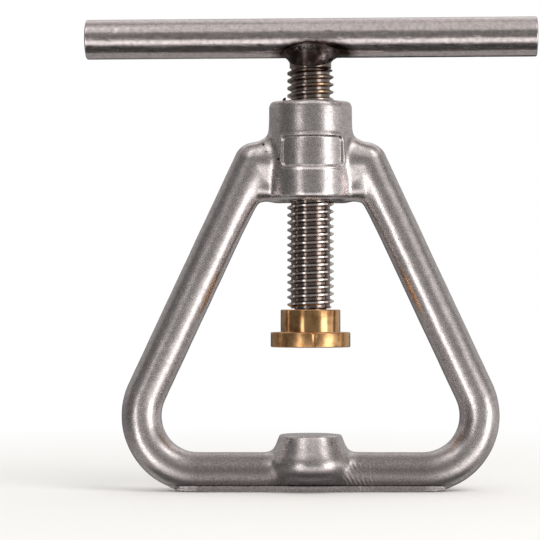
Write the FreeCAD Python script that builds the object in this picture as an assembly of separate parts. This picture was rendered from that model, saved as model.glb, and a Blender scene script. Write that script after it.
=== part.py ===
import FreeCAD, Part
import math
import os

# Screw nutcracker press: a round-section cast frame with a tapped boss at the top and an anvil
# boss on its base bar, a threaded spindle with a welded T-bar, and a swivelling brass pad.
# Millimetres. +Z is up along the spindle, X runs along the base bar. The origin is on the spindle
# axis, in the plane of the sole that the frame stands on.

# Frame casting
frame_bar = 12.0            # diameter of the round section of base, legs and shoulders
sole_depth = 0.4            # how much is ground off under the base bar
corner_radius = 17.0        # centreline radius of the two bottom bends
leg_lean = 25.0             # degrees between a leg and the vertical
shoulder_height = 98.7      # centre of the round shoulder, above the sole
shoulder_reach = 17.1       # centre of the round shoulder, out from the spindle axis
shoulder_blend = 4.4        # fillet between the boss and a shoulder

# Boss that carries the thread
boss_diameter = 24.0
boss_length = 29.8
boss_above_shoulder = 18.3  # boss top above the shoulder centre
boss_top_chamfer = 1.2
boss_foot_chamfer = 0.8
web_thickness = 7.4         # waist of the web in the crotch between boss and leg
web_side = 5.4              # where the hollowed sides of the web run out, from the mid plane
web_sink = 1.5              # how far the web's ends reach into boss and leg
web_skim = 0.2              # how far the curve under the web dips into the leg
crotch_round = 3.0          # curve from the underside of the web down onto the leg
bore_chamfer = 0.8

# Anvil boss on the base bar
anvil_height = 16.9         # top of the anvil above the sole
anvil_diameter = 18.6       # across the top face
anvil_draft = 20.0          # degrees, wider towards the bar
anvil_edge = 0.6            # chamfer round the top face
anvil_foot = 4.0            # lowest point of the tucked-under wall, above the sole
anvil_bowl_round = 5.0      # radius of the tuck, in front of and behind the bar
anvil_blend = 2.0           # fillet between the anvil and the bar

# Spindle
spindle_diameter = 14.0     # over the thread crests
thread_length = 72.5        # from the lower shoulder to the neck
thread_chamfer = 1.0
neck_diameter = 12.6
neck_length = 3.1           # plain neck, from the thread to the underside of the handle
saddle_depth = 2.8          # how far the spindle's notched end reaches up beside the handle
spigot_diameter = 9.6
spigot_tip_rise = 0.8       # height of the domed end that pushes on the pad
bore_clearance = 0.05       # radial, spindle in the boss

# Handle and weld
handle_diameter = 12.0
handle_length = 136.0
handle_edge = 0.8
handle_yaw = -3.2           # degrees, how the T-bar stands in the rest pose
weld_foot = 2.6             # how far the weld runs down the neck
weld_waist = 0.9            # how far the weld stands out from the neck, under the handle
weld_belly = 2.9            # how far it stands out at its widest
weld_belly_rise = 2.1       # height of its widest point above the underside of the handle
weld_crown = 4.4            # how far the weld climbs the handle

# Pad and its ring
jaw_gap = 26.3              # anvil top to pad face in the rest pose
flange_diameter = 24.0
flange_height = 4.5
collar_diameter = 18.0
collar_height = 6.8
pad_edge = 0.4
pad_floor = 2.4             # metal left under the blind bore
swivel_clearance = 0.05     # radial, spigot in the pad
shoulder_gap = 0.3          # pad collar to spindle shoulder
tip_gap = 0.05              # domed end to the floor of the pad's bore
ring_width = 1.2            # along the spindle
ring_depth = 1.6            # across, half in the spigot and half in the pad
ring_height = 4.6           # middle of the ring above the floor of the pad's bore
ring_clearance = 0.05
ring_opening = 25.0         # degrees, the split in the ring
ring_squeeze = 0.9          # how far the ring can close while the pad is pressed on

# Heights and radii that follow
bar_radius = frame_bar / 2
base_height = bar_radius - sole_depth
boss_radius = boss_diameter / 2
boss_top = shoulder_height + boss_above_shoulder
boss_foot = boss_top - boss_length
pad_face = anvil_height + jaw_gap
flange_top = pad_face + flange_height
collar_top = flange_top + collar_height
bore_floor = pad_face + pad_floor
thread_foot = collar_top + shoulder_gap
thread_top = thread_foot + thread_length
handle_radius = handle_diameter / 2
handle_height = thread_top + neck_length + handle_radius
spigot_radius = spigot_diameter / 2
ring_level = bore_floor + ring_height
touch = 0.01                # how near a point counts as on a surface
across = FreeCAD.Vector(1, 0, 0)
up = FreeCAD.Vector(0, 0, 1)


def at(x, z):
    """A point in the frame's mid plane."""
    return FreeCAD.Vector(x, 0, z)


def cylinder(diameter, low, high):
    """A cylinder on the spindle axis."""
    return Part.makeCylinder(diameter / 2, high - low, at(0, low), up)


def turned(edges):
    """A solid turned about the spindle axis from a closed outline of edges."""
    outline = Part.Wire(Part.__sortEdges__([edge.toShape() for edge in edges]))
    return Part.Face(outline).revolve(at(0, 0), up, 360)


def lathe(points):
    """A solid turned about the spindle axis from straight runs between the points."""
    outline = Part.makePolygon([at(x, z) for x, z in points + points[:1]])
    return Part.Face(outline).revolve(at(0, 0), up, 360)


def edges_where(shape, test):
    """The edges whose points all pass the test."""
    chosen = []
    for edge in shape.Edges:
        if not edge.Degenerated and all(test(point) for point in edge.discretize(9)):
            chosen.append(edge)
    return chosen


def on_cylinder(point, radius):
    return abs(math.hypot(point.x, point.y) - radius) < touch


def at_rim(point, height):
    return abs(point.z - height) < touch


def on_shoulder_bar(point):
    return abs(math.hypot(point.y, point.z - shoulder_height) - bar_radius) < touch


def on_base_bar(point):
    return abs(math.hypot(point.y, point.z - base_height) - bar_radius) < touch


def leg_loop():
    """Legs, bends and base bar, all in the one round section."""
    lean = math.radians(leg_lean)
    centre_height = base_height + corner_radius
    rise = (shoulder_height - centre_height) * math.sin(lean)
    centre_reach = shoulder_reach + (rise - corner_radius) / math.cos(lean)
    base = Part.makeCylinder(bar_radius, 2 * centre_reach, at(-centre_reach, base_height), across)
    body = [base]
    for side in (-1, 1):
        centre = at(side * centre_reach, centre_height)
        start = at(side * centre_reach, base_height)
        end = centre + at(side * math.cos(lean), math.sin(lean)) * corner_radius
        shoulder = at(side * shoulder_reach, shoulder_height)
        section = Part.Face(Part.Wire(Part.makeCircle(bar_radius, start, across)))
        body.append(section.revolve(centre, FreeCAD.Vector(0, -side, 0), 90 + leg_lean))
        leg = shoulder - end
        body.append(Part.makeCylinder(bar_radius, leg.Length, end, leg))
    return body


def boss_and_shoulders():
    """The boss with its two round shoulders blended into its sides."""
    boss = cylinder(boss_diameter, boss_foot, boss_top)
    bar = Part.makeCylinder(bar_radius, 2 * shoulder_reach, at(-shoulder_reach, shoulder_height), across)
    body = boss.fuse(bar).removeSplitter()
    body = body.makeFillet(shoulder_blend, edges_where(
        body, lambda p: on_cylinder(p, boss_radius) and on_shoulder_bar(p)))
    body = body.makeChamfer(boss_top_chamfer, edges_where(body, lambda p: at_rim(p, boss_top)))
    body = body.makeChamfer(boss_foot_chamfer, edges_where(body, lambda p: at_rim(p, boss_foot)))
    for side in (-1, 1):
        body = body.fuse(Part.makeSphere(bar_radius, at(side * shoulder_reach, shoulder_height)))
    return body


def web(side):
    """The web in the crotch under a shoulder: hollowed front and back, curved down onto the leg."""
    lean = math.radians(leg_lean)
    low = boss_foot - crotch_round
    high = shoulder_height - bar_radius / 2
    inner = boss_radius - boss_foot_chamfer - web_sink

    def leg_centre(z):
        return shoulder_reach + (shoulder_height - z) * math.tan(lean)

    outer = leg_centre(boss_foot) - math.sqrt(bar_radius ** 2 - web_side ** 2) + web_sink
    waist = web_thickness / 2

    def plan(x, y):
        return FreeCAD.Vector(side * x, y, low)

    middle = (inner + outer) / 2
    hollow = Part.Wire([
        Part.Arc(plan(inner, -web_side), plan(middle, -waist), plan(outer, -web_side)).toShape(),
        Part.LineSegment(plan(outer, -web_side), plan(outer, web_side)).toShape(),
        Part.Arc(plan(outer, web_side), plan(middle, waist), plan(inner, web_side)).toShape(),
        Part.LineSegment(plan(inner, web_side), plan(inner, -web_side)).toShape(),
    ])
    column = Part.Face(hollow).extrude(up * (high - low))

    leg_side = leg_centre(boss_foot) - (bar_radius - web_skim) / math.cos(lean)
    run_out = crotch_round * math.tan((math.pi / 2 - lean) / 2)
    arc_start = leg_side - run_out

    def elevation(x, z):
        return FreeCAD.Vector(side * x, -bar_radius, z)

    def on_arc(turn):
        return elevation(arc_start + crotch_round * math.sin(turn),
                         boss_foot - crotch_round * (1 - math.cos(turn)))

    arc_end = on_arc(math.pi / 2 - lean)
    corners = [
        elevation(leg_centre(arc_end.z), arc_end.z),
        elevation(leg_centre(high), high),
        elevation(inner, high),
        elevation(inner, boss_foot),
        elevation(arc_start, boss_foot),
    ]
    side_view = Part.Wire([
        Part.Arc(corners[-1], on_arc((math.pi / 2 - lean) / 2), arc_end).toShape(),
        Part.makePolygon([arc_end] + corners),
    ])
    plate = Part.Face(side_view).extrude(FreeCAD.Vector(0, frame_bar, 0))
    return column.common(plate)


def anvil():
    """The anvil boss: a drafted round wall that tucks under like a bowl."""
    draft = math.radians(anvil_draft)
    wall_foot = anvil_foot + anvil_bowl_round * (1 + math.sin(draft))
    top_radius = anvil_diameter / 2
    foot_radius = top_radius + (anvil_height - wall_foot) * math.tan(draft)
    bowl_reach = foot_radius - anvil_bowl_round * math.cos(draft)
    bowl_height = anvil_foot + anvil_bowl_round

    def on_bowl(turn):
        return at(bowl_reach + anvil_bowl_round * math.cos(turn),
                  bowl_height + anvil_bowl_round * math.sin(turn))

    outline = [
        Part.LineSegment(at(0, anvil_foot), on_bowl(-math.pi / 2)),
        Part.Arc(on_bowl(-math.pi / 2), on_bowl((draft - math.pi / 2) / 2), on_bowl(draft)),
        Part.LineSegment(on_bowl(draft), at(top_radius, anvil_height)),
        Part.LineSegment(at(top_radius, anvil_height), at(0, anvil_height)),
        Part.LineSegment(at(0, anvil_height), at(0, anvil_foot)),
    ]
    body = turned(outline)
    return body.makeChamfer(anvil_edge, edges_where(body, lambda p: at_rim(p, anvil_height)))


def base_and_anvil(base):
    """The base bar with the anvil boss blended into it."""
    bar_end = base.BoundBox.XMax
    body = base.fuse(anvil())
    joint = edges_where(body, lambda p: on_base_bar(p) and abs(p.x) < bar_end - touch)
    return body.makeFillet(anvil_blend, joint)


def frame():
    base, *legs = leg_loop()
    body = boss_and_shoulders().fuse(legs + [base_and_anvil(base), web(-1), web(1)])
    ground = Part.makeBox(4 * shoulder_height, frame_bar, frame_bar,
                          FreeCAD.Vector(-2 * shoulder_height, -bar_radius, -frame_bar))
    bore = spindle_diameter / 2 + bore_clearance
    hole = lathe([
        (0, boss_foot), (bore + bore_chamfer, boss_foot), (bore, boss_foot + bore_chamfer),
        (bore, boss_top - bore_chamfer), (bore + bore_chamfer, boss_top), (0, boss_top),
    ])
    return body.cut([ground, hole])


def spindle():
    """Threaded rod: domed spigot with a ring groove, thread, plain neck, notch for the handle."""
    thread = spindle_diameter / 2
    neck = neck_diameter / 2
    top = thread_top + neck_length + saddle_depth
    tip = bore_floor + tip_gap
    groove = ring_width / 2 + ring_clearance
    groove_floor = spigot_radius - ring_depth / 2 - ring_squeeze
    rod = lathe([
        (0, tip), (spigot_radius, tip),
        (spigot_radius, ring_level - groove), (groove_floor, ring_level - groove),
        (groove_floor, ring_level + groove), (spigot_radius, ring_level + groove),
        (spigot_radius, thread_foot), (thread - thread_chamfer, thread_foot),
        (thread, thread_foot + thread_chamfer), (thread, thread_top - thread_chamfer),
        (neck, thread_top - thread_chamfer + thread - neck), (neck, top), (0, top),
    ])
    dome_radius = (spigot_radius ** 2 + spigot_tip_rise ** 2) / (2 * spigot_tip_rise)
    dome = Part.makeSphere(dome_radius, at(0, tip + dome_radius))
    tip_zone = cylinder(spindle_diameter, tip, tip + 2 * spigot_tip_rise)
    end = tip_zone.cut(dome)
    return rod.cut([end, handle_rod()])


def handle_rod():
    """The round rod of the handle, in its place across the spindle."""
    yaw = math.radians(handle_yaw)
    along = FreeCAD.Vector(math.cos(yaw), math.sin(yaw), 0)
    start = at(0, handle_height) - along * (handle_length / 2)
    return Part.makeCylinder(handle_radius, handle_length, start, along)


def handle_bar():
    rod = handle_rod()
    rims = [edge for edge in rod.Edges if isinstance(edge.Curve, Part.Circle)]
    return rod.makeChamfer(handle_edge, rims)


def weld_bead():
    """Fillet of weld round the joint: it climbs the handle in front and behind."""
    neck = neck_diameter / 2
    seat = handle_height - handle_radius
    bead = lathe([
        (neck, seat - weld_foot),
        (neck + weld_waist, seat),
        (neck + weld_belly, seat + weld_belly_rise),
        (neck, seat + weld_crown),
    ])
    return bead.cut([handle_rod(), spindle()])


def pressure_pad():
    """Stepped brass pad with a blind bore and an inner groove for the ring."""
    collar = collar_diameter / 2
    flange = flange_diameter / 2
    bore = spigot_radius + swivel_clearance
    groove = ring_width / 2 + ring_clearance
    groove_reach = spigot_radius + ring_depth / 2 + ring_clearance
    body = lathe([
        (0, pad_face), (flange, pad_face), (flange, flange_top), (collar, flange_top),
        (collar, collar_top), (bore + pad_edge, collar_top), (bore, collar_top - pad_edge),
        (bore, ring_level + groove), (groove_reach, ring_level + groove),
        (groove_reach, ring_level - groove), (bore, ring_level - groove),
        (bore, bore_floor), (0, bore_floor),
    ])

    def on_outer_rim(point):
        if at_rim(point, collar_top):
            return on_cylinder(point, collar)
        return on_cylinder(point, flange) and (at_rim(point, pad_face) or at_rim(point, flange_top))

    return body.makeChamfer(pad_edge, edges_where(body, on_outer_rim))


def snap_ring():
    """Open spring ring, half in the spigot's groove and half in the pad's."""
    inner = spigot_radius - ring_depth / 2
    outer = spigot_radius + ring_depth / 2
    low = ring_level - ring_width / 2
    high = ring_level + ring_width / 2
    section = Part.Face(Part.makePolygon([at(inner, low), at(outer, low), at(outer, high),
                                          at(inner, high), at(inner, low)]))
    ring = section.revolve(at(0, 0), up, 360 - ring_opening)
    ring.rotate(at(0, 0), up, 90 + ring_opening / 2)
    return ring


def main():
    os.makedirs("parts", exist_ok=True)
    nodes = {
        "frame": frame(),
        "spindle": spindle(),
        "handle_bar": handle_bar(),
        "weld_bead": weld_bead(),
        "pressure_pad": pressure_pad(),
        "snap_ring": snap_ring(),
    }
    for name, shape in nodes.items():
        shape.exportStep("parts/" + name + ".step")
        print(name, "solids", len(shape.Solids), "valid", shape.isValid(), "mm3", round(shape.Volume, 1))


main()
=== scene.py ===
import contextlib
import functools
import math

import bmesh
import bpy
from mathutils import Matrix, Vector, noise


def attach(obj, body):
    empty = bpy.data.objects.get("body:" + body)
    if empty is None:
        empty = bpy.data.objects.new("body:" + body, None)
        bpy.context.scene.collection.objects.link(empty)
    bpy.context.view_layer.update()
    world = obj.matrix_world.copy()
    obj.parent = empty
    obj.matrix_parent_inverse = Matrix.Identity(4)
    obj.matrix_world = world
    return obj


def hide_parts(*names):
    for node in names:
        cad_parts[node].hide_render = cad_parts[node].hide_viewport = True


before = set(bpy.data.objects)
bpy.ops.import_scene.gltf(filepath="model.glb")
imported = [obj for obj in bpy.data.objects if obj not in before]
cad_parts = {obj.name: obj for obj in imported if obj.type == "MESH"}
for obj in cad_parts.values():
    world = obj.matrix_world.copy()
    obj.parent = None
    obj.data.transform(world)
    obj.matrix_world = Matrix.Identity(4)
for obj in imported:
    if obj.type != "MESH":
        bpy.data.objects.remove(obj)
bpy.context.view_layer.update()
scene = bpy.context.scene
mm = 0.001  # sizes are in mm and angles in degrees, unless a note says otherwise
sameSpot = 0.002 * mm  # points nearer than this are merged
noiseSpan = (0.3, 0.7)  # where nearly all values of a noise texture lie
print("frame loaded:", ", ".join(sorted(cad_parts)))

# kinds of node, some with the one setting that they need
maths = "ShaderNodeMath operation "
plus, minus, times, over = maths + "ADD", maths + "SUBTRACT", maths + "MULTIPLY", maths + "DIVIDE"
timesPlus = maths + "MULTIPLY_ADD"
smaller, larger = maths + "MINIMUM", maths + "MAXIMUM"
softSmaller, softLarger = maths + "SMOOTH_MIN", maths + "SMOOTH_MAX"
lessThan, greaterThan = maths + "LESS_THAN", maths + "GREATER_THAN"
absolute, ceiling, fraction = maths + "ABSOLUTE", maths + "CEIL", maths + "FRACT"
toRadians, toDegrees = maths + "RADIANS", maths + "DEGREES"
sine, cosine, tangent = maths + "SINE", maths + "COSINE", maths + "TANGENT"
arcSine, arcTangent = maths + "ARCSINE", maths + "ARCTAN2"
vectors = "ShaderNodeVectorMath operation "
vectorPlus, vectorMinus, vectorScale = vectors + "ADD", vectors + "SUBTRACT", vectors + "SCALE"
vectorTimesPlus, vectorDot = vectors + "MULTIPLY_ADD", vectors + "DOT_PRODUCT"
vectorLength, vectorDistance = vectors + "LENGTH", vectors + "DISTANCE"
splitVector, joinVector = "ShaderNodeSeparateXYZ", "ShaderNodeCombineXYZ"
mapRange = "ShaderNodeMapRange"
easeRange = mapRange + " interpolation_type SMOOTHSTEP"
mixColour, mixValue = "ShaderNodeMix data_type RGBA", "ShaderNodeMix data_type FLOAT"
# a noise takes its place, scale, detail and roughness
noiseNode, mappingNode = "ShaderNodeTexNoise", "ShaderNodeMapping"
setPosition, transformNode = "GeometryNodeSetPosition", "GeometryNodeTransform"


def linear(code):
    channels = [int(code[i:i + 2], 16) / 255 for i in (1, 3, 5)]
    return tuple(c / 12.92 if c <= 0.04045 else ((c + 0.055) / 1.055) ** 2.4 for c in channels) + (1.0,)


def metres(values):
    return tuple(value * mm for value in values)


def addNode(tree, kind, inputs=(), **settings):
    # inputs is a tuple in the order of the live sockets, or a dictionary by socket name
    kind, *choice = kind.split()
    node = tree.nodes.new(kind)
    if choice:
        setattr(node, *choice)
    for name, value in settings.items():
        setattr(node, name, value)
    live = [socket for socket in node.inputs if socket.enabled]
    pairs = inputs.items() if isinstance(inputs, dict) else enumerate(inputs)
    for key, value in pairs:
        socket = live[key] if isinstance(key, int) else next(s for s in live if s.name == key)
        if isinstance(value, bpy.types.NodeSocket):
            tree.links.new(value, socket)
        else:
            socket.default_value = value
    return next((socket for socket in node.outputs if socket.enabled), node)


def newTree(name, sizes):
    # a Geometry Nodes tree with one named input for each size, a material input and a mesh output
    tree = bpy.data.node_groups.new(name, "GeometryNodeTree")
    for size, value in sizes.items():
        kind = "NodeSocketInt" if isinstance(value, int) else "NodeSocketFloat"
        tree.interface.new_socket(size, in_out="INPUT", socket_type=kind).default_value = value
    tree.interface.new_socket("Material", in_out="INPUT", socket_type="NodeSocketMaterial")
    tree.interface.new_socket("Geometry", in_out="OUTPUT", socket_type="NodeSocketGeometry")
    add = functools.partial(addNode, tree)
    return tree, add, add("NodeGroupInput").node.outputs


def endTree(tree, add, given, mesh):
    real = add("GeometryNodeRealizeInstances", (mesh,))
    smooth = add("GeometryNodeSetShadeSmooth", {"Geometry": real})
    dressed = add("GeometryNodeSetMaterial", {"Geometry": smooth, "Material": given["Material"]})
    add("NodeGroupOutput", {"Geometry": dressed})
    return tree


def newObject(name, data):
    made = bpy.data.objects.new(name, data)
    scene.collection.objects.link(made)
    return made


def runTree(name, tree, values, material):
    # the tree's result as a plain mesh, with no modifier left on the piece
    piece = newObject(name, bpy.data.meshes.new(name))
    modifier = piece.modifiers.new(name, "NODES")
    modifier.node_group = tree
    for item in tree.interface.items_tree:
        if item.in_out == "INPUT":
            modifier[item.identifier] = material if item.name == "Material" else values[item.name]
    evaluated = piece.evaluated_get(bpy.context.evaluated_depsgraph_get())
    plain = bpy.data.meshes.new_from_object(evaluated)
    piece.modifiers.remove(modifier)
    plain.materials.clear()
    plain.materials.append(material)
    plain.polygons.foreach_set("material_index", [0] * len(plain.polygons))
    piece.data = plain
    return piece


@contextlib.contextmanager
def editing(mesh):
    work = bmesh.new()
    work.from_mesh(mesh)
    yield work
    for face in work.faces:
        face.smooth = True
    work.to_mesh(mesh)
    work.free()


def anglesRound(columns):
    return [2 * math.pi * column / columns for column in range(columns)]


def noiseAt(point, scale, shift=0.0):
    x, y, z = (value * factor for value, factor in zip(point, scale))
    return noise.noise(Vector((x + shift, y, z)))


def meshPiece(name, points, rings, columns, material):
    # quads between rings that close on themselves, and a face at each end
    faces = []
    for ring in range(rings - 1):
        for column in range(columns):
            after = (column + 1) % columns
            faces.append((ring * columns + column, ring * columns + after,
                          (ring + 1) * columns + after, (ring + 1) * columns + column))
    faces.append(tuple(range(columns)))
    faces.append(tuple((rings - 1) * columns + column for column in reversed(range(columns))))
    mesh = bpy.data.meshes.new(name)
    mesh.from_pydata([metres(point) for point in points], [], faces)
    mesh.materials.append(material)
    with editing(mesh) as work:
        bmesh.ops.remove_doubles(work, verts=work.verts, dist=sameSpot)
        bmesh.ops.recalc_face_normals(work, faces=work.faces)
    return newObject(name, mesh)


# Materials

def emptyNodes(owner):
    owner.use_nodes = True
    owner.node_tree.nodes.clear()
    return functools.partial(addNode, owner.node_tree)


def startMaterial(name):
    material = bpy.data.materials.new(name)
    add = emptyNodes(material)
    return material, add, add("ShaderNodeTexCoord").node.outputs["Object"]


def endMaterial(material, add, colour, rough, height=None, depth=0.0, strength=1.0):
    # a metal, and its relief where it has one: height is a pattern and depth its size in mm
    skin = {"Metallic": 1.0, "Base Color": colour, "Roughness": rough}
    if height is not None:
        relief = {"Height": height, "Distance": depth * mm, "Strength": strength}
        skin["Normal"] = add("ShaderNodeBump", relief)
    add("ShaderNodeOutputMaterial", {"Surface": add("ShaderNodeBsdfPrincipled", skin)})
    return material


castLook = {
    "metal": "#e7dedc",  # blasted stainless, a little warm
    "shade": "#d1c7c5",  # duller skin in the mottled patches
    "shadeEdges": (0.38, 0.66),
    # dark pits, and the colour of the painted shade line along the foot
    "pitAndShadeColour": "#4a4443",
    "footShadeColour": "#a59b9a",  # painted shade: the base bar is drawn darker
    "grain": 0.50,  # blast texture, drawn coarser than real
    "mottle": 1.5,  # patches left by the tumbling
    "pitSpacing": 3.4,
    "pitEdges": (0.10, 0.05),
    "pitRarity": 0.63,  # pits only where the mottle is above this
    "ragged": 0.5,  # how far outlines stray
    "roughness": (0.35, 0.22),
    "footRough": 0.16,  # added on the base bar
    "grainDepth": 0.026,
    "grainContrast": 0.24,
    "footShadeContrast": 0.22,  # added on the base bar, painted shade in the grain
    # where the painted shade and extra roughness on the base bar start and are full, mm above the sole and
    # from the middle
    "footTop": (13.5, 9.5),
    "footReach": (46.0, 34.0),
    # the anvil is spared the base bar's painted shade and extra roughness, mm from the middle and above the
    # sole
    "anvilReach": (14.5, 11.0),
    "anvilFoot": (6.0, 8.5),
    "lineHeight": 2.05,  # mm above the sole, a ragged line of painted shade in the step over the foot strip
    "lineWidth": 0.34,
    "chatter": 1.15,  # mm from mark to mark
    "chatterPlace": (15.2, -5.6, 4.6),
    "chatterReach": 6.0,
    "chatterMiddle": (-9.0, 0.0, -6.0),
    "chatterDepth": 1.6,  # in grain depths
    "flaws": [(-14.2, 103.9, 0.55), (-9.7, 99.3, 0.50), (-13.4, 101.6, 0.35)],  # x, z and radius of pits
}


def castSteel():
    # cast stainless steel, blasted and tumbled: satin grey, fine grain and a few dark pits
    look = castLook
    material, add, place = startMaterial("castStainlessTumbled")
    x, y, z = add(splitVector, (place,)).node.outputs
    grain = add(noiseNode, (place, 1 / (look["grain"] * mm), 3.0))
    mottle = add(noiseNode, (place, 1 / (look["mottle"] * mm), 4.0, 0.6))
    patch = add(mapRange, (mottle, *look["shadeEdges"]))
    skin = add(mixColour, (patch, linear(look["metal"]), linear(look["shade"])))

    # painted shade and extra roughness on the base bar, between the bends and below the anvil's top
    reach = add(absolute, (x,))
    low = add(mapRange, (z, *metres(look["footTop"])))
    near = add(mapRange, (reach, *metres(look["footReach"])))
    onAnvil = add(mapRange, (reach, *metres(look["anvilReach"])))
    anvilSpared = add(times, (onAnvil, add(mapRange, (z, *metres(look["anvilFoot"])))))
    foot = add(times, (add(times, (low, near)), add(minus, (1.0, anvilSpared))))
    skin = add(mixColour, (foot, skin, linear(look["footShadeColour"])))

    # small pits, a few larger ones, and a ragged line of painted shade in the step along the foot
    cells = add("ShaderNodeTexVoronoi", {"Vector": place, "Scale": 1 / (look["pitSpacing"] * mm)})
    rare = add(greaterThan, (mottle, look["pitRarity"]))
    pitsAndCreaseShade = add(times, (add(mapRange, (cells, *look["pitEdges"])), rare))
    stray = add(noiseNode, (place, 1 / (look["ragged"] * mm))).node.outputs["Color"]
    strayed = add(vectorPlus, (place, add(vectorScale, (stray, look["ragged"] * mm))))
    strayedX, _, strayedZ = add(splitVector, (strayed,)).node.outputs
    flat = add(joinVector, (strayedX, 0.0, strayedZ))
    middle = 0.5 * look["ragged"]  # the noise moves a point by this much on average
    front = add(lessThan, (y, 0.0))
    for flawX, flawZ, radius in look["flaws"]:
        apart = add(vectorDistance, (flat, metres((flawX + middle, 0.0, flawZ + middle))))
        flaw = add(times, (add(mapRange, (apart, radius * mm, 0.5 * radius * mm)), front))
        pitsAndCreaseShade = add(larger, (pitsAndCreaseShade, flaw))
    # painted shade: a dark line where the flat strip meets the round bar
    offLine = add(absolute, (add(minus, (strayedZ, (look["lineHeight"] + middle) * mm)),))
    line = add(mapRange, (offLine, look["lineWidth"] * mm, 0.5 * look["lineWidth"] * mm))
    pitsAndCreaseShade = add(larger, (pitsAndCreaseShade, add(times, (line, near))))
    colour = add(mixColour, (pitsAndCreaseShade, skin, linear(look["pitAndShadeColour"])))
    # the grain on the base bar gets darker too, as painted shade
    darkest = add(timesPlus, (foot, -look["footShadeContrast"], 1 - look["grainContrast"]))
    colour = add(vectorScale, (colour, add(mapRange, (grain, *noiseSpan, darkest, 1.0))))
    rough = add(mapRange, (grain, *noiseSpan, *look["roughness"]))
    rough = add(timesPlus, (foot, look["footRough"], rough))

    # short curved marks of the dressing tool, on the base bar beside the anvil
    ring = add(vectorDistance, (place, metres(look["chatterMiddle"])))
    marks = add(sine, (add(times, (ring, 2 * math.pi / (look["chatter"] * mm))),))
    apart = add(vectorDistance, (strayed, metres(look["chatterPlace"])))
    marked = add(mapRange, (apart, look["chatterReach"] * mm, 0.6 * look["chatterReach"] * mm))
    height = add(timesPlus, (add(times, (marks, marked)), look["chatterDepth"], add(minus, (grain, pitsAndCreaseShade))))
    return endMaterial(material, add, colour, rough, height, look["grainDepth"])


handleLook = {
    "metal": "#d6cbc9",
    "dull": "#bbb0ae",
    "dullEdges": (0.4, 0.7),
    "blur": 1.4,  # size of the dull patches
    "scratch": 0.5,  # fine scratches, drawn coarser than real
    "stretch": 0.08,  # they run along the bar
    "scratchDepth": 0.008,
    "stain": "#3a2c28",  # heat and flux stain beside the weld
    "stainWide": 12.2,  # half width
    "stainHigh": 4.3,  # above and below its middle
    "stainRagged": 1.6,
    "stainReach": (0.16, 30.7),  # its middle, in half widths and half heights
    "stainEdges": (1.12, 0.82),
    "roughness": (0.12, 0.28),
}


def groundBar():
    # ground stainless bar: satin, finer than the casting, with small scratches
    look = handleLook
    material, add, place = startMaterial("groundStainlessBar")
    blur = add(noiseNode, (place, 1 / (look["blur"] * mm), 5.0, 0.65))
    stretched = add(mappingNode, {"Vector": place, "Scale": (look["stretch"], 1.0, 1.0)})
    scratches = add(noiseNode, (stretched, 1 / (look["scratch"] * mm), 3.0))
    patch = add(mapRange, (blur, *look["dullEdges"]))
    skin = add(mixColour, (patch, linear(look["metal"]), linear(look["dull"])))
    # dark arch of heat and flux on the lower front, a little wider than the weld
    ragged = add(vectorScale, (blur.node.outputs["Color"], look["stainRagged"] * mm))
    around = add(mappingNode, {"Vector": add(vectorPlus, (place, ragged)),
                               "Location": (-look["stainReach"][0], 0.0, -look["stainReach"][1]),
                               "Scale": (1 / (look["stainWide"] * mm), 0.0, 1 / (look["stainHigh"] * mm))})
    stained = add(mapRange, (add(vectorLength, (around,)), *look["stainEdges"]))
    colour = add(mixColour, (stained, skin, linear(look["stain"])))
    rough = add(mapRange, (scratches, *noiseSpan, *look["roughness"]))
    return endMaterial(material, add, colour, rough, scratches, look["scratchDepth"])


threadLook = {
    "crest": "#e9e0db",
    "root": "#93867f",  # painted shade down the flanks and in the roots
    "rootShadeEdges": (0.3, 0.1),  # mm under the crest and above the root, where it starts and is full
    "smear": 1.6,
    "wobble": 0.25,
    "scale": "#7d6b62",  # dull brown scale right below the weld
    "scaleEdges": (109.0, 127.0),  # mm above the sole
    "scaleRagged": 12.0,  # in wobbles
    "tint": "#b59c7c",  # straw heat colour in one patch at the front right
    "tintPlace": (3.6, -5.5, 121.0),
    "tintReach": 4.5,
    "roughness": (0.04, 0.24),
}


def turnedThread(sizes):
    # lathe-cut stainless thread: bright flanks, painted shade towards the roots, straw heat colour near the
    # weld
    look = threadLook
    material, add, place = startMaterial("lathedStainlessThread")
    x, y, z = add(splitVector, (place,)).node.outputs
    radius = add(vectorLength, (add(joinVector, (x, y)),))
    smear = add(noiseNode, (place, 1 / (look["smear"] * mm), 4.0))
    wobble = add(mapRange, (smear, 0.0, 1.0, -look["wobble"] * mm, look["wobble"] * mm))
    underCrest, overRoot = look["rootShadeEdges"]
    rootShade = add(mapRange, (add(plus, (radius, wobble)), (sizes["crest"] - underCrest) * mm,
                          (sizes["root"] + overRoot) * mm))
    heat = add(mapRange, (add(timesPlus, (wobble, look["scaleRagged"], z)), *metres(look["scaleEdges"])))
    steel = add(mixColour, (heat, linear(look["crest"]), linear(look["scale"])))
    apart = add(vectorDistance, (place, metres(look["tintPlace"])))
    straw = add(mapRange, (apart, look["tintReach"] * mm, 0.3 * look["tintReach"] * mm))
    steel = add(mixColour, (straw, steel, linear(look["tint"])))
    # painted shade towards the roots of the thread
    colour = add(mixColour, (rootShade, steel, linear(look["root"])))
    return endMaterial(material, add, colour, add(mapRange, (smear, 0.0, 1.0, *look["roughness"])))


weldLook = {
    "oxide": [(0.35, "#221c1b"), (0.50, "#382d29"), (0.68, "#544a48")],
    "patches": 3.2,
    "grain": 0.4,  # drawn coarser than real
    "grainDepth": 0.03,
    "grainStrength": 0.8,
    "roughness": (0.26, 0.46),
    "paintedHighlight": "#a29997",  # painted highlight: lighter patches on the dark oxide
    "highlightEdges": (0.42, 0.62),  # in the grain
    "highlightShare": 0.75,
    "highlightSoft": (1.2, 0.4),  # where a patch starts and is full, in half sizes
    "highlightStray": 2.0,
    "highlightFade": 0.3,  # from front to back, in patches per mm
    "paintedHighlights": [(-1.6, -5.5, 132.9, 3.4, 1.5), (4.3, -5.6, 129.9, 1.3, 1.2)],  # place, half width and height
}


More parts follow.
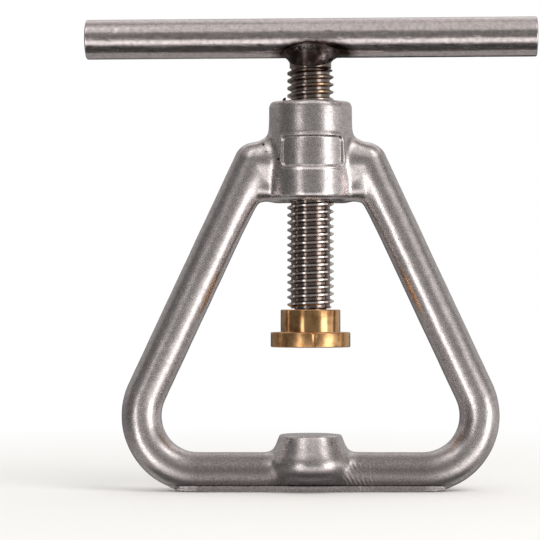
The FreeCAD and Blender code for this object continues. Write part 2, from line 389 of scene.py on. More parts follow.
def weldSkin():
    # stainless weld left as welded: patchy dark oxide, with painted highlights here and there
    look = weldLook
    material, add, place = startMaterial("weldOxide")
    patches = add(noiseNode, (place, 1 / (look["patches"] * mm), 3.0))
    colour = add("ShaderNodeValToRGB", (patches,))
    stops = colour.node.color_ramp.elements
    stops.new(look["oxide"][1][0])
    for stop, (position, shade) in zip(stops, look["oxide"]):
        stop.position = position
        stop.color = linear(shade)
    grain = add(noiseNode, (place, 1 / (look["grain"] * mm), 3.0))
    broken = add(mapRange, (grain, *look["highlightEdges"], 0.0, look["highlightShare"]))
    stray = look["highlightStray"]
    strayed = add(vectorTimesPlus, (patches.node.outputs["Color"], (stray * mm,) * 3, place))
    # painted highlights: lighter patches where the weld catches the light, broken by the grain
    for x, y, z, width, height in look["paintedHighlights"]:
        middle = metres((x + stray / 2, y + stray / 2, z + stray / 2))
        near = add(mappingNode, {"Vector": add(vectorMinus, (strayed, middle)),
                                 "Scale": (1 / (width * mm), look["highlightFade"] / mm, 1 / (height * mm))})
        share = add(times, (add(mapRange, (add(vectorLength, (near,)), *look["highlightSoft"])), broken))
        colour = add(mixColour, (share, colour, linear(look["paintedHighlight"])))
    rough = add(mapRange, (grain, 0.0, 1.0, *look["roughness"]))
    return endMaterial(material, add, colour, rough, grain, look["grainDepth"], look["grainStrength"])


brassLook = {
    "metal": "#e6b57e",
    "tarnish": "#a26842",  # brown bloom in patches
    "bloom": 3.0,
    "bloomEdges": (0.42, 0.68),
    "bloomShare": 0.8,
    "turning": 0.18,  # mm between tool lines, drawn coarser than real
    "turningDepth": 0.004,
    "turningStretch": 0.02,  # so that the lines run right round
    "roughness": (0.05, 0.22),
    "worn": 0.13,  # added below wornTop, where it rubs on what it presses
    "wornTop": 47.5,
}


def turnedBrass():
    # lathe-turned brass: warm gold, fine rings round it, brown tarnish in patches
    look = brassLook
    material, add, place = startMaterial("turnedBrass")
    stretch = look["turningStretch"]
    rings = add(mappingNode, {"Vector": place, "Scale": (stretch, stretch, 1.0)})
    lines = add(noiseNode, (rings, 1 / (look["turning"] * mm), 2.0))
    bloom = add(noiseNode, (place, 1 / (look["bloom"] * mm), 5.0, 0.6))
    patch = add(mapRange, (bloom, *look["bloomEdges"], 0.0, look["bloomShare"]))
    colour = add(mixColour, (patch, linear(look["metal"]), linear(look["tarnish"])))
    height = add(splitVector, (place,)).node.outputs["Z"]
    flange = add(lessThan, (height, look["wornTop"] * mm))
    rough = add(mapRange, (bloom, 0.0, 1.0, *look["roughness"]))
    rough = add(timesPlus, (flange, look["worn"], rough))
    return endMaterial(material, add, colour, rough, lines, look["turningDepth"])


wireLook = {"metal": "#b5b2ad", "marked": "#8d8983", "marks": 0.3, "roughness": (0.22, 0.4)}


def springWire():
    # drawn spring steel wire: smooth mid grey with fine marks
    look = wireLook
    material, add, place = startMaterial("drawnSpringWire")
    marks = add(noiseNode, (place, 1 / (look["marks"] * mm), 3.0))
    colour = add(mixColour, (marks, linear(look["metal"]), linear(look["marked"])))
    return endMaterial(material, add, colour, add(mapRange, (marks, 0.0, 1.0, *look["roughness"])))


# Frame casting

castSizes = {
    "Bar diameter": 12.0,
    "Base height": 5.6,  # bar centre above the sole
    "Corner radius": 17.0,
    "Bend reach": 33.83,  # bend centre out from the spindle axis
    "Leg lean": 25.0,  # degrees
    "Shoulder reach": 17.1,
    "Shoulder height": 98.7,
    "Boss diameter": 24.0,
    "Boss foot": 87.2,
    "Boss top": 117.0,
    "Boss edge": 1.9,
    "Face edge": 0.5,  # where the top of the boss was faced off
    "Web thickness": 9.4,
    "Anvil diameter": 18.6,
    "Anvil top": 16.9,
    "Anvil foot": 3.2,
    "Anvil draft": 20.0,  # degrees
    "Anvil tuck": 7.5,
    "Anvil edge": 0.8,
    "Bore diameter": 14.24,
    "Bore chamfer": 0.8,
    "Shoulder blend": 8.5,
    "Crotch blend": 3.0,
    "Boss blend": 4.2,
    "Web inset": 0.3,
    "Web edge": 3.4,
    "Web reach": 14.5,
    "Web taper": 0.4,  # how fast it thins beyond its reach
    "Web blend": 3.6,
    "Strip height": 1.9,  # flat strip along the foot of the base bar
    "Strip depth": 9.8,
    "Strip end": 7.0,  # out from the bend centre, where it runs out under the bend
    "Strip end height": 1.0,
    "Strip end depth": 7.6,
    "Strip blend": 0.6,
    "Anvil blend": 4.0,
    "Unevenness": 0.10,
    "Wave scale": 0.12,
    "Voxel": 0.52,
    "Seed": 7.0,
}
castBlock = ((-58.0, -13.5, -1.0), (58.0, 13.5, 118.5))  # corners of the space it is worked out in
outside = -5.0  # density beyond that


def rodField(add, point, start, end, radius):
    # distance from a round-ended rod
    along = add(vectorMinus, (end, start))
    reach = add(vectorMinus, (point, start))
    share = add(over, (add(vectorDot, (reach, along)), add(vectorDot, (along, along))), use_clamp=True)
    apart = add(vectorDistance, (reach, add(vectorScale, (along, share))))
    return add(minus, (apart, radius))


def bendField(add, point, centre, bendRadius, lowest, highest, radius):
    # distance from a round bar bent to an arc in the plane of the frame
    x, _, z = add(splitVector, (add(vectorMinus, (point, centre)),)).node.outputs
    held = add("ShaderNodeClamp", (add(arcTangent, (z, x)), lowest, highest))
    arm = add(joinVector, (add(cosine, (held,)), 0.0, add(sine, (held,))))
    nearest = add(vectorPlus, (add(vectorScale, (arm, bendRadius)), centre))
    return add(minus, (add(vectorDistance, (point, nearest)), radius))


def largest(add, *fields):
    return functools.reduce(lambda a, b: add(larger, (a, b)), fields)


def cornerField(add, across, along, radius):
    # distance from a rounded corner where two flat distances meet
    outer = add(joinVector, [add(larger, (add(plus, (field, radius)), 0.0)) for field in (across, along)])
    inside = add(smaller, (add(plus, (add(larger, (across, along)), radius)), 0.0))
    beyond = add(vectorLength, (outer,))
    return add(minus, (add(plus, (beyond, inside)), radius))


def castTree():
    tree, add, size = newTree("castFrameShape", castSizes)
    place = add("GeometryNodeInputPosition")
    x, y, z = add(splitVector, (place,)).node.outputs
    side = add(absolute, (x,))
    depth = add(absolute, (y,))
    point = add(joinVector, (side, y, z))
    barRadius, bossRadius, anvilRadius, boreRadius, halfWeb = (
        add(times, (size[name], 0.5))
        for name in ("Bar diameter", "Boss diameter", "Anvil diameter", "Bore diameter", "Web thickness"))
    lean = add(toRadians, (size["Leg lean"],))

    # base, bends and legs, drawn for the right half
    bendHeight = add(plus, (size["Base height"], size["Corner radius"]))
    bendCentre = add(joinVector, (size["Bend reach"], 0.0, bendHeight))
    outward = add(joinVector, (add(cosine, (lean,)), 0.0, add(sine, (lean,))))
    legFoot = add(vectorPlus, (bendCentre, add(vectorScale, (outward, size["Corner radius"]))))
    shoulder = add(joinVector, (size["Shoulder reach"], 0.0, size["Shoulder height"]))
    bossMiddle = add(joinVector, (0.0, 0.0, size["Shoulder height"]))
    baseMiddle = add(joinVector, (0.0, 0.0, size["Base height"]))
    baseEnd = add(joinVector, (size["Bend reach"], 0.0, size["Base height"]))
    base = rodField(add, point, baseMiddle, baseEnd, barRadius)
    bend = bendField(add, point, bendCentre, size["Corner radius"], -math.pi / 2, lean, barRadius)
    flatPoint = add(joinVector, (side, 0.0, z))
    arms, armsFlat = (add(smaller, (rodField(add, start, legFoot, shoulder, barRadius),
                                    rodField(add, start, bossMiddle, shoulder, barRadius)))
                      for start in (point, flatPoint))

    # boss with rounded rims
    radius = add(vectorLength, (add(joinVector, (x, y)),))
    overBoss = add(minus, (z, size["Boss top"]))
    underBoss = add(minus, (size["Boss foot"], z))
    bossEnds = add(larger, (overBoss, underBoss))
    boss = cornerField(add, add(minus, (radius, bossRadius)), bossEnds, size["Boss edge"])

    # web: fills the corner over the shoulder and the crotch under it, thinner than the bars
    bossFlat = cornerField(add, add(minus, (side, bossRadius)), bossEnds, size["Boss edge"])
    bossFlat = add(plus, (bossFlat, size["Web inset"]))
    web = add(softSmaller, (armsFlat, bossFlat, size["Shoulder blend"]))
    overShoulder = add(minus, (z, size["Shoulder height"]))
    drop = add(minus, (size["Shoulder height"], z))
    legLine = add(timesPlus, (add(tangent, (lean,)), drop, size["Shoulder reach"]))
    crotch = largest(add, underBoss, overShoulder, add(minus, (side, legLine)))
    crotch = add(softSmaller, (armsFlat, crotch, size["Crotch blend"]))
    web = add(smaller, (web, crotch))
    web = cornerField(add, web, add(minus, (depth, halfWeb)), size["Web edge"])
    # it thins away along the legs, so that they keep their own thickness
    away = add(larger, (add(minus, (side, size["Web reach"])), 0.0))
    web = add(timesPlus, (away, size["Web taper"], web))

    # anvil: a drafted wall that tucks under, cut flat on top
    draft = add(toRadians, (size["Anvil draft"],))
    fromRim = add(minus, (radius, anvilRadius))
    fromTop = add(minus, (z, size["Anvil top"]))
    wall = add(timesPlus, (fromRim, add(cosine, (draft,)), add(times, (fromTop, add(sine, (draft,))))))
    bowl = cornerField(add, wall, add(minus, (size["Anvil foot"], z)), size["Anvil tuck"])
    anvil = add(softLarger, (bowl, fromTop, size["Anvil edge"]))

    # all of it joined with soft fillets
    top = add(softSmaller, (boss, arms, size["Boss blend"]))
    top = add(softSmaller, (top, web, size["Web blend"]))
    bottom = add(softSmaller, (base, anvil, size["Anvil blend"]))
    bottom = add(smaller, (bottom, bend))
    # the strip ends flush with the outside of the bends
    pastBend = add(larger, (add(minus, (side, size["Bend reach"])), 0.0))
    stripHeight, stripDepth = (
        add(mapRange, (pastBend, 0.0, size["Strip end"], size["Strip " + way], size["Strip end " + way]))
        for way in ("height", "depth"))
    belowBend = add(minus, (z, bendHeight))
    fromBend = add(vectorLength, (add(joinVector, (pastBend, 0.0, belowBend)),))
    stripEnd = add(minus, (fromBend, add(plus, (size["Corner radius"], barRadius))))
    strip = largest(add, add(minus, (depth, add(times, (stripDepth, 0.5)))), add(minus, (z, stripHeight)),
                    stripEnd)
    bottom = add(softSmaller, (bottom, strip, size["Strip blend"]))
    whole = add(smaller, (top, bottom))

    # a hand-finished casting is never quite even
    shifted = add(vectorPlus, (place, add(joinVector, (size["Seed"],))))
    waves = add(noiseNode, (shifted, size["Wave scale"], 2.0))
    waves = add(mapRange, (waves, 0.0, 1.0, -1.0, 1.0))
    whole = add(timesPlus, (waves, size["Unevenness"], whole))

    # machined after casting: boss faces, sole and bore
    whole = add(softLarger, (whole, overBoss, size["Face edge"]))
    sole = add(times, (z, -1.0))
    widen = largest(add, add(plus, (bossEnds, size["Bore chamfer"])), 0.0)
    inBore = add(minus, (add(plus, (boreRadius, widen)), radius))
    inBore = add(smaller, (inBore, add(times, (underBoss, -1.0))))
    whole = largest(add, whole, inBore, sole)
    density = add(times, (whole, -1.0))

    block = {"Density": density, "Background": outside, "Min": castBlock[0], "Max": castBlock[1]}
    for axis, low, high in zip("XYZ", *castBlock):
        block["Resolution " + axis] = add(over, (high - low, size["Voxel"]))
    skin = add("GeometryNodeVolumeToMesh", {"Volume": add("GeometryNodeVolumeCube", block),
                                            "Threshold": 0.0})
    # each point moves by the distance it is still off the surface
    settle = add(vectorScale, (add("GeometryNodeInputNormal"), density))
    skin = add(setPosition, {"Geometry": skin, "Offset": settle})
    return endTree(tree, add, size, add(transformNode, {"Geometry": skin, "Scale": (mm, mm, mm)}))


panelSizes = {
    "across": 0.5,  # middle, mm round the boss from the front
    "middle": 101.6,  # middle, mm above the sole
    "width": 20.2,  # measured round the boss
    "height": 8.7,
    "corner": 1.5,
    "depth": 0.42,
    "slope": 0.6,  # width of the wall
    "rim": 0.26,  # raised lip round it
    "rimWidth": 1.1,
    "margin": 1.8,
    "drop": 0.12,  # all of it sits this much lower
    "front": -5.0,  # only what lies in front of this is pressed
    "cuts": 2,
}


def eased(share):
    share = min(max(share, 0.0), 1.0)
    return share * share * (3 - 2 * share)


def pressPanel(piece):
    # a bare sunk panel with a raised lip, on the boss front
    s = panelSizes
    bossRadius = castSizes["Boss diameter"] / 2
    halfWidth = s["width"] / 2
    halfHeight = s["height"] / 2

    def offset(vert):
        across = bossRadius * math.atan2(vert.co.x, -vert.co.y)
        return abs(across - s["across"]), abs(vert.co.z / mm - s["middle"])

    def inPatch(vert):
        x, z = offset(vert)
        return vert.co.y < s["front"] * mm and x < halfWidth + s["margin"] and z < halfHeight + s["margin"]

    with editing(piece.data) as work:
        patch = {edge for face in work.faces if all(map(inPatch, face.verts)) for edge in face.edges}
        bmesh.ops.subdivide_edges(work, edges=list(patch), cuts=s["cuts"], use_grid_fill=True)
        for vert in filter(inPatch, work.verts):
            x, z = offset(vert)
            outX = x - halfWidth + s["corner"]
            outZ = z - halfHeight + s["corner"]
            apart = math.hypot(max(outX, 0.0), max(outZ, 0.0)) + min(max(outX, outZ), 0.0) - s["corner"]
            sunk = eased(0.5 - apart / s["slope"])
            lip = math.exp(-((apart - 0.5 * s["rimWidth"]) / (0.5 * s["rimWidth"])) ** 2)
            rise = s["rim"] * lip * (1 - sunk) - s["depth"] * sunk
            rise -= s["drop"] * eased(1 - apart / s["margin"])
            vert.co += Vector((vert.co.x, vert.co.y, 0.0)).normalized() * rise * mm


burrSizes = {
    "place": (-8.0, -6.6, 116.8),
    "height": 0.95,
    "width": 1.0,
    "thickness": 0.35,
    "lean": (0.35, -0.21),  # how far its tip curls over, across and forward
    "rings": 9,
    "columns": 10,
}


def makeBurr(material):
    # a curl of metal left at the mouth of the bore
    s = burrSizes
    x, y, z = s["place"]
    leanX, leanY = s["lean"]
    rings, columns = s["rings"], s["columns"]
    points = []
    for ring in range(rings):
        share = ring / (rings - 1)
        taper = math.sqrt(max(1 - share ** 2, 0.02))
        for angle in anglesRound(columns):
            points.append((x + leanX * share ** 2 + s["width"] / 2 * taper * math.cos(angle),
                           y + leanY * share ** 2 + s["thickness"] / 2 * taper * math.sin(angle),
                           z + s["height"] * share))
    return meshPiece("burrCurl", points, rings, columns, material)


# Spindle

spindleSizes = {
    "crest": 7.0,  # thread crest radius
    "root": 5.85,
    "foot": 54.8,  # lower shoulder
    "footRadius": 5.8,  # the shoulder is turned down a little
    "top": 127.3,  # where the plain neck starts
    "neckRadius": 6.3,
    "neckTop": 132.6,
    "neckStep": 0.05,
    "spigotRadius": 4.8,
    "spigotEdge": 0.15,
    "tip": 45.65,
    "tipRise": 0.8,
    "tipAngles": (0.0, 0.4, 0.8, 1.1, 1.35),  # radians
    "grooveLow": 49.55,
    "grooveHigh": 50.85,
    "grooveRadius": 3.1,
}
threadSizes = {
    "Pitch": 2.25,
    "Crest": spindleSizes["crest"],
    "Root": spindleSizes["root"],
    "Crest share": 0.20,  # flat crest and root, as shares of the pitch
    "Root share": 0.30,
    "Low": spindleSizes["foot"],
    "High": spindleSizes["top"],
    "Run out": 1.0,
    "Columns": 96,
    "Rows per turn": 20,
}


def threadTree():
    tree, add, size = newTree("threadShape", threadSizes)
    # a grid is rolled round the axis and sheared by one pitch, so that its rows follow the helix
    turns = add(over, (add(minus, (size["High"], size["Low"])), size["Pitch"]))
    turns = add(plus, (add(ceiling, (turns,)), 2.0))
    rows = add(times, (turns, size["Rows per turn"]))
    grid = add("GeometryNodeMeshGrid", {"Size X": 1.0, "Size Y": 1.0,
                                        "Vertices X": add(plus, (size["Columns"], 1.0)),
                                        "Vertices Y": add(plus, (rows, 1.0))})
    x, y, _ = add(splitVector, (add("GeometryNodeInputPosition"),)).node.outputs
    turn = add(plus, (x, 0.5))
    climb = add(times, (add(plus, (y, 0.5)), turns))
    steps = add(minus, (add(plus, (climb, turn)), 1.0))
    height = add(timesPlus, (steps, size["Pitch"], size["Low"]))
    height = add("ShaderNodeClamp", (height, size["Low"], size["High"]))
    # a V with a narrow flat crest and a wider flat root
    saw = add(fraction, (add(plus, (climb, 0.5)),))
    fold = add(absolute, (add(timesPlus, (saw, 2.0, -1.0)),))
    radius = add(mapRange, (fold, size["Crest share"], add(minus, (1.0, size["Root share"])),
                            size["Crest"], size["Root"]))
    fromEnd = add(smaller, (add(minus, (height, size["Low"])), add(minus, (size["High"], height))))
    ending = add(mapRange, (fromEnd, 0.0, size["Run out"], size["Root"], size["Crest"]))
    radius = add(smaller, (radius, ending))
    angle = add(times, (turn, 2 * math.pi))
    placed = add(joinVector, (add(times, (radius, add(cosine, (angle,)))),
                              add(times, (radius, add(sine, (angle,)))), height))
    rolled = add(setPosition, {"Geometry": grid, "Position": placed})
    rolled = add(transformNode, {"Geometry": rolled, "Scale": (mm, mm, mm)})
    rolled = add("GeometryNodeMergeByDistance", {"Geometry": rolled, "Distance": sameSpot})
    return endTree(tree, add, size, rolled)


def closeEnds(piece, middle, loops):
    # carries the open rims on through rings of radius and height in mm, and closes them
    with editing(piece.data) as work:
        for rings, upper in loops:
            rim = [edge for edge in work.edges
                   if edge.is_boundary and (edge.verts[0].co.z > middle * mm) == upper]
            for radius, height in rings:
                grown = bmesh.ops.extrude_edge_only(work, edges=rim)
                for vert in grown["geom"]:
                    if isinstance(vert, bmesh.types.BMVert):
                        scale = radius * mm / max(math.hypot(vert.co.x, vert.co.y), 1e-9)
                        vert.co.x *= scale
                        vert.co.y *= scale
                        vert.co.z = height * mm
                rim = [e for e in grown["geom"] if isinstance(e, bmesh.types.BMEdge) and e.is_boundary]
            bmesh.ops.contextual_create(work, geom=rim)
        bmesh.ops.recalc_face_normals(work, faces=work.faces)


def sharpen(piece, angle):
    # edges sharper than this many degrees stay crisp
    with editing(piece.data) as work:
        for edge in work.edges:
            if len(edge.link_faces) == 2 and edge.calc_face_angle(0.0) > math.radians(angle):
                edge.smooth = False


def makeSpindle(material):
    s = spindleSizes
    piece = runTree("spindleScrew", threadTree(), threadSizes, material)
    spigot, groove = s["spigotRadius"], s["grooveRadius"]
    lower = [(s["footRadius"], s["foot"]), (spigot + s["spigotEdge"], s["foot"]),
             (spigot, s["foot"] - s["spigotEdge"]), (spigot, s["grooveHigh"]), (groove, s["grooveHigh"]),
             (groove, s["grooveLow"]), (spigot, s["grooveLow"])]
    lower += [(spigot * math.cos(a), s["tip"] + s["tipRise"] * (1 - math.sin(a))) for a in s["tipAngles"]]
    upper = [(s["neckRadius"], s["top"] + s["neckStep"]), (s["neckRadius"], s["neckTop"])]
    closeEnds(piece, (s["foot"] + s["top"]) / 2, [(lower, False), (upper, True)])
    sharpen(piece, 40)
    return piece


# Handle

handleSizes = {
    "radius": 6.0,
    "length": 136.0,
    "edge": 0.5,
    "edgeAngles": (0.35, 0.8, 1.2),  # radians
    "face": 2.5,  # radius of the last ring on the flat end
    "yaw": -3.2,  # degrees, turned a little to the camera
    "height": 136.4,
    "waver": 0.02,  # how uneven it is
    "waverScale": (0.11, 0.2, 0.2),
    "dent": 0.2,  # knocks here and there
    "dentScale": (0.45, 0.5, 0.5),
    "dentShift": 30,
    "dentRarity": 0.42,
    "columns": 96,
    "rings": 270,
}


def turned(point):
    # a point of the handle or weld, turned about the screw's axis
    x, y, z = point
    yaw = math.radians(handleSizes["yaw"])
    return x * math.cos(yaw) - y * math.sin(yaw), x * math.sin(yaw) + y * math.cos(yaw), z


def makeHandle(material):
    s = handleSizes
    columns = s["columns"]
    half = s["length"] / 2
    inner = half - s["edge"]
    stations = [(-half, s["face"]), (-half, s["radius"] - s["edge"])]
    stations += [(-half + s["edge"] * (1 - math.cos(a)), s["radius"] - s["edge"] * (1 - math.sin(a)))
                 for a in s["edgeAngles"]]
    otherEnd = [(-x, r) for x, r in reversed(stations)]
    stations += [(-inner + 2 * inner * i / s["rings"], s["radius"]) for i in range(s["rings"] + 1)]
    stations += otherEnd
    points = []
    for x, r in stations:
        for angle in anglesRound(columns):
            y = r * math.cos(angle)
            z = r * math.sin(angle)
            waver = noiseAt((x, y, z), s["waverScale"])
            dent = min(noiseAt((x, y, z), s["dentScale"], s["dentShift"]) + s["dentRarity"], 0.0)
            scale = 1 + (s["waver"] * waver + s["dent"] * dent) / s["radius"]
            points.append(turned((x, y * scale, z * scale + s["height"])))
    return meshPiece("handleBar", points, len(stations), columns, material)


# Weld

weldSizes = {
    "neck": 6.3,  # radius of the neck it sits on
    "footFront": 127.4,  # lowest edge on the neck, at the front
    "footSide": 129.3,
    "seat": 130.4,  # underside of the bar
    "sunk": 0.05,  # it starts this much under the seat
    "crown": 134.9,  # top of the arch on the front of the bar
    "archPower": 1.1,
    "sideReach": 6.45,  # along the bar, right under it
    "lobeReach": 2.6,  # further out where it climbs the bar
    "lobePower": 0.6,
    "ragged": 0.35,  # of its lower edge
    "wanderScale": (1.6, 1.6, 1.6),
    "wanderHeight": 2.5,  # where its noise is cut
    "reachWander": 0.06,
    "archWander": 0.05,
    "barShare": 0.98,  # it keeps this far inside the sides of the bar
    "inset": 0.7,  # its closing ends are this much smaller
    "insetRise": 0.6,  # and the lower one this much higher
    "bulge": 0.85,
    "leastBulge": 0.15,  # share of the bulge at the sides
    "swellAim": (0.5, 1.0, -0.35),
    "uneven": 0.12,
    "unevenScale": (0.7, 0.7, 0.7),
    "proud": 0.04,
    "ripples": 22,
    "ripple": 0.012,
    "rippleCurve": 5.0,
    "rippleWander": 1.5,
    # angle round the neck, share of the way up, width and height of each lump
    "lumps": [(-142, 0.72, 15, 0.55), (-122, 0.80, 12, 0.35), (-24, 0.35, 9, 0.75), (-60, 0.6, 18, 0.3),
              (-95, 0.45, 22, 0.35), (-50, 0.12, 9, 0.35)],
    "lumpHigh": 0.22,  # share of the way up that a lump takes
    "columns": 260,
    "rows": 30,
}


def makeWeld(material):
    s = weldSizes
    height, radius = handleSizes["height"], handleSizes["radius"]
    columns, rows = s["columns"], s["rows"]
    aimX, aimY, aimZ = s["swellAim"]
    points = []
    for row in range(-1, rows + 2):
        v = min(max(row / rows, 0.0), 1.0)
        for column in range(columns):
            around = 360 * column / columns - 180
            t = math.radians(around)
            c, sn = math.cos(t), math.sin(t)
            wander = noiseAt((c, sn, s["wanderHeight"]), s["wanderScale"])
            climb = abs(sn)
            footZ = s["footSide"] + (s["footFront"] - s["footSide"]) * climb + s["ragged"] * wander
            lobe = s["lobeReach"] * math.sin(math.pi * climb ** s["lobePower"])
            along = c * (s["sideReach"] + lobe) * (1 + s["reachWander"] * wander)
            arch = (s["crown"] - s["seat"]) * climb ** s["archPower"]
            toeZ = s["seat"] - s["sunk"] + arch * (1 + s["archWander"] * wander)
            drop = min(height - toeZ, radius)
            across = math.copysign(math.sqrt(max(radius ** 2 - drop ** 2, 0.0)), sn)
            foot = Vector((s["neck"] * c, s["neck"] * sn, footZ))
            toe = Vector((along, across, toeZ))
            underBar = height - math.sqrt(radius ** 2 - min(abs(foot.y), s["barShare"] * radius) ** 2)
            corner = Vector((foot.x, foot.y, min(underBar, toeZ)))
            p = foot * (1 - v) ** 2 + corner * 2 * v * (1 - v) + toe * v * v
            if row in (-1, rows + 1):
                # it closes inside the neck and the bar
                rise = s["insetRise"] if row < 0 else 0.0
                p = Vector((p.x * s["inset"], p.y * s["inset"], p.z + rise))
            else:
                hump = math.sin(math.pi * v)
                swell = s["bulge"] * hump * (s["leastBulge"] + (1 - s["leastBulge"]) * climb)
                wave = s["ripples"] * t + s["rippleCurve"] * v * v + s["rippleWander"] * wander
                swell += s["ripple"] * math.sin(wave) * hump ** 0.5
                for middle, share, width, high in s["lumps"]:
                    swell += high * math.exp(-((around - middle) / width) ** 2
                                             - ((v - share) / s["lumpHigh"]) ** 2)
                swell += s["uneven"] * noiseAt(p, s["unevenScale"])
                p = p + Vector((c * aimX, sn * aimY, aimZ)).normalized() * (swell + s["proud"])
            points.append(turned(p))
    return meshPiece("weldBead", points, rows + 3, columns, material)


# Pad

padSizes = {
    "face": 43.2,
    "flangeTop": 47.7,
    "collarTop": 54.5,
    "flange": 12.0,
    "collar": 9.0,
    "fillet": 0.12,  # where the collar meets the flange
    "bore": 4.85,
    "floor": 45.6,
    "groove": 5.65,
    "edge": 0.35,
    "boreEdge": 0.4,
    "centre": 0.05,  # radius of the last ring
    "nickAngle": -85.0,  # degrees, a knock on the flange at the front
    "nickWidth": 0.9,
    "nickDepth": 0.55,
    "columns": 240,
}


def roundedCorner(radius, height, edge, startAngle):
    # a small quarter round, radius and height are its centre
    angles = [math.radians(startAngle + 90 * i / 4) for i in range(5)]
    return [(radius + edge * math.cos(angle), height + edge * math.sin(angle)) for angle in angles]


def makePad(material):
    s = padSizes
    e = s["edge"]
    flange, collar, bore, groove = s["flange"], s["collar"], s["bore"], s["groove"]
    grooveLow, grooveHigh = spindleSizes["grooveLow"], spindleSizes["grooveHigh"]
    outline = [(s["centre"], s["face"]), (flange * 0.5, s["face"])]
    outline += roundedCorner(flange - e, s["face"] + e, e, -90)
    outline += roundedCorner(flange - e, s["flangeTop"] - e, e, 0)
    outline += [(collar + s["fillet"], s["flangeTop"]), (collar, s["flangeTop"] + s["fillet"])]
    outline += roundedCorner(collar - e, s["collarTop"] - e, e, 0)
    outline += [(bore + s["boreEdge"], s["collarTop"]), (bore, s["collarTop"] - s["boreEdge"]),
                (bore, grooveHigh), (groove, grooveHigh), (groove, grooveLow), (bore, grooveLow),
                (bore, s["floor"]), (s["centre"], s["floor"])]
    columns = s["columns"]
    points = []
    for radius, height in outline:
        onEdge = radius > flange - 1.2 * e and s["flangeTop"] - 1.2 * e < height < s["flangeTop"] + 0.1
        for angle in anglesRound(columns):
            aside = abs(math.remainder(angle - math.radians(s["nickAngle"]), 2 * math.pi)) * flange
            knock = max(1 - aside / s["nickWidth"], 0.0) * s["nickDepth"] if onEdge else 0.0
            out = radius - knock
            points.append((out * math.cos(angle), out * math.sin(angle), height - knock))
    piece = meshPiece("brassPad", points, len(outline), columns, material)
    sharpen(piece, 35)
    return piece


# Studio

studio = {
    "cameraDistance": 600.0,
    "aim": (-12.2, 0.0, 66.4),
    "cameraHeight": 55.0,
    "pictureWidth": 162.65,  # mm across the picture at the object
    "sensor": 36.0,
    "nearest": 10.0,  # the camera sees nothing closer
    "floorSize": 4.0,  # m, as all below
    "floorColour": "#f4f2ef",
    "floorFade": (0.10, 0.35),  # it fades to white between these
    "lampSize": 0.5,
    "lampPower": 2.2,  # watts
    "lampPlace": (0.45, -0.35, 0.75),
    "lampAim": (0.0, 0.0, 0.03),
    "fill": 0.9,  # light from all round
}
white = (1.0, 1.0, 1.0, 1.0)


def aimAt(thing, place, aim):
    thing.location = place
    thing.rotation_mode = "QUATERNION"
    thing.rotation_quaternion = (Vector(aim) - thing.location).to_track_quat("-Z", "Y")


def makeCamera():
    data = bpy.data.cameras.new("camera")
    camera = newObject("camera", data)
    aim = metres(studio["aim"])
    aimAt(camera, (aim[0], -studio["cameraDistance"] * mm, studio["cameraHeight"] * mm), aim)
    data.sensor_width = studio["sensor"]
    data.lens = data.sensor_width * studio["cameraDistance"] / studio["pictureWidth"]
    data.clip_start = studio["nearest"] * mm
    scene.camera = camera


boxes = [
    # azimuth from and to, elevation from and to, how soft the edges are, all in degrees, then brightness
    (42, 64, -18, 8, 5, 2.6),  # hot middle of the big box, front right
    (36, 66, -26, 9, 9, 0.55),  # the rest of it
    (62, 96, -10, 9, 9, 0.6),  # its fall-off
    (40, 64, 30, 62, 7, 1.7),  # top light, right
    (-42, -22, 30, 62, 7, 1.2),  # top light, left
    (28, 66, 9, 26, 7, 0.3),
    (-38, -27, -20, 8, 4, 1.75),  # narrow box, front left
    (-41, -25, -26, -9, 4, 1.3),  # its lower end is wider
    (-44, 58, -36, -13, 6, 1.05),  # bright table in front
    (-100, 100, -100, -45, 5, -0.34),  # the object's own shade below it
    (-96, -48, -20, 22, 9, -0.09),
    (-150, -52, 28, 100, 12, -0.32),  # dim ceiling to both sides
    (66, 150, 28, 100, 12, -0.24),
    (98, 181, -20, 60, 9, 0.28),  # pale wall on the right, behind
    (-181, -98, 8, 60, 9, 0.2),
    (148, 181, -34, 2, 5, -0.38),  # dark under the far side of the table
    (-181, -148, -34, 2, 5, -0.12),
]
roomLevels = [(-90, 0.42), (-42, 0.40), (-12, 0.26), (0, 0.22), (27, 0.25), (41, 0.76), (90, 0.76)]


def makeWorld():
    world = bpy.data.worlds.new("softStudio")
    scene.world = world
    add = emptyNodes(world)
    world.cycles.sampling_method = "NONE"
    x, y, z = add(splitVector, (add("ShaderNodeTexCoord").node.outputs["Generated"],)).node.outputs
    azimuth = add(toDegrees, (add(arcTangent, (x, add(times, (y, -1.0)))),))
    elevation = add(toDegrees, (add(arcSine, (z,)),))
    level = roomLevels[0][1]
    for (low, before), (high, after) in zip(roomLevels, roomLevels[1:]):
        level = add(plus, (level, add(easeRange, (elevation, low, high, 0.0, after - before))))
    for left, right, low, high, soft, share in boxes:
        for angle, start, end in ((azimuth, left, right), (elevation, low, high)):
            for edge, inward in ((start, soft), (end, -soft)):
                share = add(times, (share, add(easeRange, (angle, edge - inward, edge + inward))))
        level = add(plus, (level, share))
    path = add("ShaderNodeLightPath").node.outputs
    lit = add(mixValue, (path["Is Glossy Ray"], studio["fill"], level))
    plain = add(larger, (path["Is Camera Ray"], path["Is Transmission Ray"]))
    background = add("ShaderNodeBackground", {"Color": white, "Strength": add(mixValue, (plain, lit, 1.0))})
    add("ShaderNodeOutputWorld", {"Surface": background})


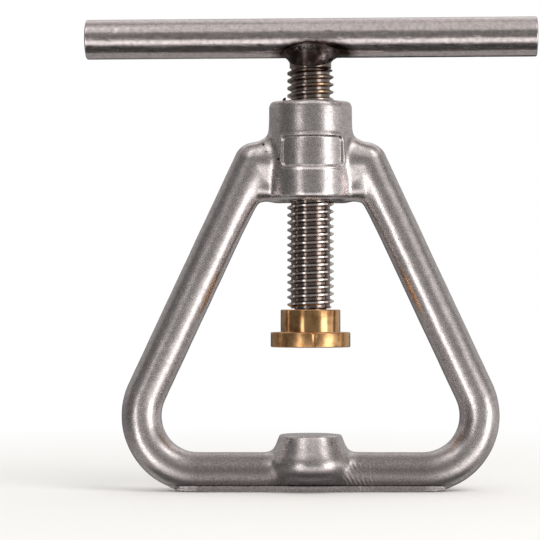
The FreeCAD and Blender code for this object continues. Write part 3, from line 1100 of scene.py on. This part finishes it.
def makeFloor():
    size = studio["floorSize"]
    mesh = bpy.data.meshes.new("floor")
    corners = [(-size, -size, 0), (size, -size, 0), (size, size, 0), (-size, size, 0)]
    mesh.from_pydata(corners, [], [(0, 1, 2, 3)])
    floor = newObject("floor", mesh)
    material, add, place = startMaterial("paleTable")
    path = add("ShaderNodeLightPath").node.outputs
    far = add(easeRange, (add(vectorLength, (place,)), *studio["floorFade"]))
    far = add(times, (far, path["Is Camera Ray"]))
    table = add("ShaderNodeBsdfDiffuse", {"Color": linear(studio["floorColour"])})
    glow = add("ShaderNodeEmission", {"Color": white, "Strength": 1.0})
    seen = add("ShaderNodeMixShader", (far, table, glow))
    # metal looks past it into the studio
    passed = add("ShaderNodeMixShader", (path["Is Glossy Ray"], seen, add("ShaderNodeBsdfTransparent")))
    add("ShaderNodeOutputMaterial", {"Surface": passed})
    mesh.materials.append(material)


def makeLamp():
    data = bpy.data.lights.new("softLamp", "AREA")
    data.shape = "DISK"
    data.size = studio["lampSize"]
    data.energy = studio["lampPower"]
    lamp = newObject("softLamp", data)
    aimAt(lamp, studio["lampPlace"], studio["lampAim"])
    lamp.visible_glossy = False


makeCamera()
makeWorld()
makeFloor()
makeLamp()
scene.view_settings.view_transform = "Standard"
print("studio ready")

frameCasting = runTree("frameCasting", castTree(), castSizes, castSteel())
pressPanel(frameCasting)
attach(frameCasting, "frame")
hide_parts("frame")
print("frame casting:", len(frameCasting.data.polygons), "faces")

weldMaterial = weldSkin()
burrCurl = makeBurr(weldMaterial)
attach(burrCurl, "frame")

spindle = makeSpindle(turnedThread(spindleSizes))
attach(spindle, "screw")
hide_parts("spindle")
print("spindle:", len(spindle.data.polygons), "faces")

handleBar = makeHandle(groundBar())
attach(handleBar, "screw")
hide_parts("handle_bar")

weldBead = makeWeld(weldMaterial)
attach(weldBead, "screw")
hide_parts("weld_bead")

brassPad = makePad(turnedBrass())
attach(brassPad, "pad")
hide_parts("pressure_pad")

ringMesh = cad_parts["snap_ring"].data
ringMesh.materials.clear()
ringMesh.materials.append(springWire())
print("handle, weld, pad and ring ready")
